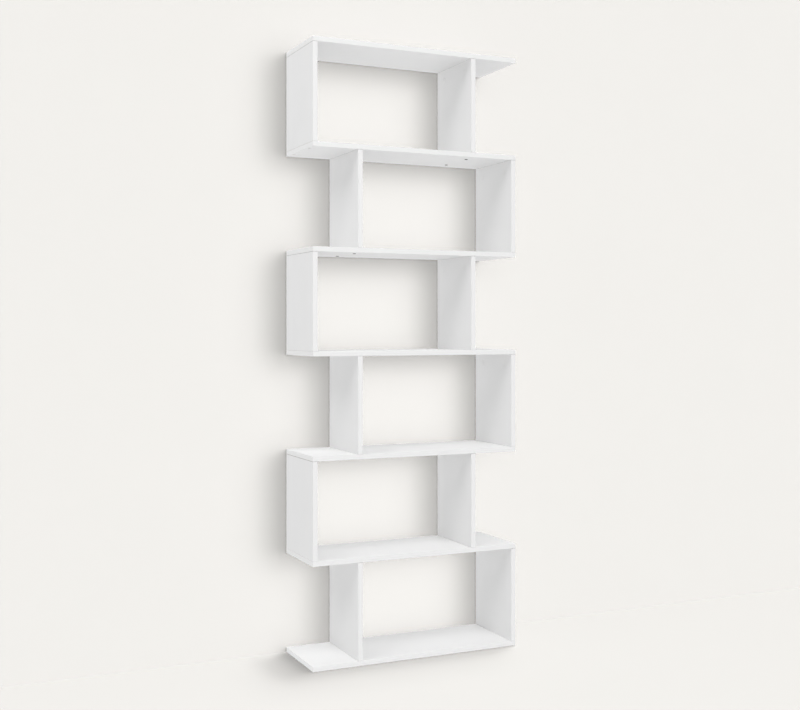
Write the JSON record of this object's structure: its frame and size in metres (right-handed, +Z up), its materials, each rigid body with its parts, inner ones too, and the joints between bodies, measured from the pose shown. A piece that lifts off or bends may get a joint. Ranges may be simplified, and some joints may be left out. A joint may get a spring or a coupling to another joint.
{
  "type": "bookshelf",
  "caption": "Tall open-backed zigzag bookshelf: full-width boards on uprights set in from alternating ends, joined by cam locks, dowels and screws.",
  "frame": {"origin": "middle of the footprint, on the floor under the base board", "axes": "+X to the right seen from the front, +Y from the front edges to the wall, +Z up"},
  "size_m": [0.7, 0.24, 1.93],
  "materials": {
    "panel_white": "white melamine facing with a faint pearl texture, on chipboard",
    "edging_white": "white plastic edging, satin, rounded along its edges",
    "screw_zinc": "zinc-plated steel, slightly dulled",
    "cam_zinc": "die-cast zinc, matt",
    "bolt_steel": "zinc-plated steel",
    "cover_white": "white plastic film, satin",
    "dowel_beech": "bare beech, fine straight grain",
    "bracket_steel": "zinc-plated sheet steel",
    "bracket_screw_steel": "zinc-plated steel"
  },
  "bodies": {
    "root": {"base_board": "panel_white", "shelf_1": "panel_white", "shelf_2": "panel_white", "shelf_3": "panel_white", "shelf_4": "panel_white", "shelf_5": "panel_white", "top_board": "panel_white", "upright_1_left": "panel_white", "upright_1_right": "panel_white", "upright_2_left": "panel_white", "upright_2_right": "panel_white", "upright_3_left": "panel_white", "upright_3_right": "panel_white", "upright_4_left": "panel_white", "upright_4_right": "panel_white", "upright_5_left": "panel_white", "upright_5_right": "panel_white", "upright_6_left": "panel_white", "upright_6_right": "panel_white", "base_board_edging": "edging_white", "shelf_1_edging": "edging_white", "shelf_2_edging": "edging_white", "shelf_3_edging": "edging_white", "shelf_4_edging": "edging_white", "shelf_5_edging": "edging_white", "top_board_edging": "edging_white", "upright_1_left_edging": "edging_white", "upright_1_right_edging": "edging_white", "upright_2_left_edging": "edging_white", "upright_2_right_edging": "edging_white", "upright_3_left_edging": "edging_white", "upright_3_right_edging": "edging_white", "upright_4_left_edging": "edging_white", "upright_4_right_edging": "edging_white", "upright_5_left_edging": "edging_white", "upright_5_right_edging": "edging_white", "upright_6_left_edging": "edging_white", "upright_6_right_edging": "edging_white", "joint_screws": "screw_zinc", "cam_locks": "cam_zinc", "cam_bolts": "bolt_steel", "cam_covers": "cover_white", "dowels": "dowel_beech", "wall_brackets": "bracket_steel", "bracket_screws": "bracket_screw_steel"}
  },
  "joints": []
}
